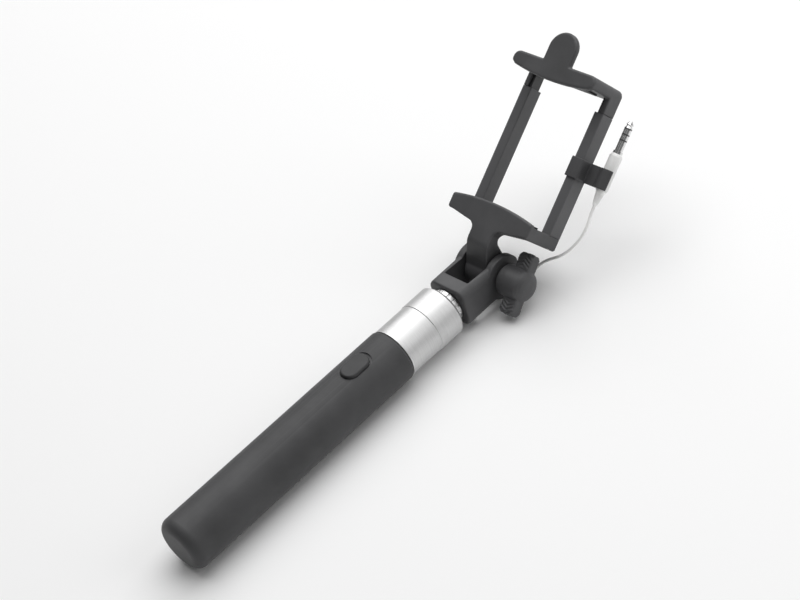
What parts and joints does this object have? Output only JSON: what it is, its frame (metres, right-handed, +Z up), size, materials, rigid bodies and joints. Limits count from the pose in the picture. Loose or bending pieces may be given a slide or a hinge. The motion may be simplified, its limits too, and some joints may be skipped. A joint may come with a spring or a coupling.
{
  "type": "selfie stick",
  "caption": "Collapsed telescoping stick with a rubber grip, satin collar, forked head with a wing knob, and a tilting spring-loaded phone holder with a cable and plug in a clip.",
  "frame": {"origin": "under the middle of the bounding box, without the cable and plug, on the surface that the grip lies on", "axes": "+X along the stick from the handle's closed end to the holder, +Z up, -Y towards the knob's side"},
  "size_m": [0.2664, 0.0608, 0.0877],
  "materials": {
    "grip_rubber": "soft-touch matt",
    "button_rubber": "soft-touch matt",
    "black_plastic": "fine moulded texture",
    "leg_plastic": "smooth",
    "pad_rubber": "matt",
    "collar_metal": "satin",
    "bush_metal": "satin",
    "tube_steel": "polished",
    "inner_plastic": "smooth",
    "lead_jacket": "matt",
    "circuit_board": "solder mask",
    "fastener_steel": "zinc plated",
    "insert_brass": "turned",
    "white_cable": "satin",
    "white_plastic": "satin",
    "contact_metal": "plated",
    "insulator": "smooth"
  },
  "bodies": {
    "handle": {"grip_sleeve": "grip_rubber", "handle_tube": "tube_steel", "end_plug": "inner_plastic", "outer_tube": "tube_steel", "rear_spacer": "inner_plastic", "front_spacer": "inner_plastic", "collar_sleeve": "collar_metal", "collar_end_ring": "collar_metal", "mouth_bush": "bush_metal", "switch_pcb": "circuit_board", "switch_body": "inner_plastic"},
    "button": {"shutter_button": "button_rubber", "switch_plunger": "inner_plastic"},
    "stage_1": {"tube_1": "tube_steel", "friction_bush_1": "inner_plastic"},
    "stage_2": {"tube_2": "tube_steel", "friction_bush_2": "inner_plastic"},
    "stage_3": {"tube_3": "tube_steel", "friction_bush_3": "inner_plastic"},
    "stage_4": {"tube_4": "tube_steel", "friction_bush_4": "inner_plastic"},
    "stage_5": {"tube_5": "tube_steel", "friction_bush_5": "inner_plastic"},
    "head": {"tube_6": "tube_steel", "friction_bush_6": "inner_plastic", "coiled_lead": "lead_jacket", "head_fork": "black_plastic", "head_pin": "fastener_steel", "pivot_bolt": "fastener_steel", "left_washer": "fastener_steel", "right_washer": "fastener_steel", "knob_washer": "fastener_steel", "cable_grommet": "inner_plastic"},
    "knob": {"wing_knob": "black_plastic", "knob_insert": "insert_brass"},
    "holder": {"lower_bracket": "black_plastic", "left_rail": "black_plastic", "right_rail": "black_plastic", "rail_screws": "fastener_steel", "spring_anchors": "fastener_steel", "left_spring": "fastener_steel", "right_spring": "fastener_steel", "lower_pad": "pad_rubber", "plug_clip": "black_plastic", "cable": "white_cable", "plug_relief": "white_cable", "plug_boot": "white_plastic", "plug_sleeve": "contact_metal", "plug_ring_1": "contact_metal", "plug_ring_2": "contact_metal", "plug_tip": "contact_metal", "plug_insulators": "insulator"},
    "jaw": {"upper_jaw": "black_plastic", "left_leg": "leg_plastic", "right_leg": "leg_plastic", "upper_pad": "pad_rubber"}
  },
  "joints": [
    {"name": "button_press", "type": "slide", "parent": "handle", "child": "button", "axis": [0, 0.1392, -0.9903], "range_m": [0, 0.0004], "stiffness_N_per_m": 1200, "springref_m": -0.0008},
    {"name": "tube_1_slide", "type": "slide", "parent": "handle", "child": "stage_1", "axis": [1, 0, 0], "range_m": [0, 0.118]},
    {"name": "tube_2_slide", "type": "slide", "parent": "stage_1", "child": "stage_2", "axis": [1, 0, 0], "range_m": [0, 0.118]},
    {"name": "tube_3_slide", "type": "slide", "parent": "stage_2", "child": "stage_3", "axis": [1, 0, 0], "range_m": [0, 0.118]},
    {"name": "tube_4_slide", "type": "slide", "parent": "stage_3", "child": "stage_4", "axis": [1, 0, 0], "range_m": [0, 0.118]},
    {"name": "tube_5_slide", "type": "slide", "parent": "stage_4", "child": "stage_5", "axis": [1, 0, 0], "range_m": [0, 0.118]},
    {"name": "tube_6_slide", "type": "slide", "parent": "stage_5", "child": "head", "axis": [1, 0, 0], "range_m": [0, 0.118]},
    {"name": "holder_tilt", "type": "hinge", "parent": "head", "child": "holder", "pos_m": [0.05284, 0.00695, 0.0125], "axis": [0, -1, 0], "range_deg": [-66.5, 65], "deforming": ["cable"]},
    {"name": "knob_turn", "type": "hinge", "parent": "head", "child": "knob", "pos_m": [0.05284, -0.01305, 0.0125], "axis": [0, -1, 0], "continuous": true},
    {"name": "jaw_slide", "type": "slide", "parent": "holder", "child": "jaw", "axis": [0.8039, 0, 0.5948], "range_m": [0, 0.022], "stiffness_N_per_m": 150, "springref_m": -0.02, "deforming": ["left_spring", "right_spring"]}
  ]
}
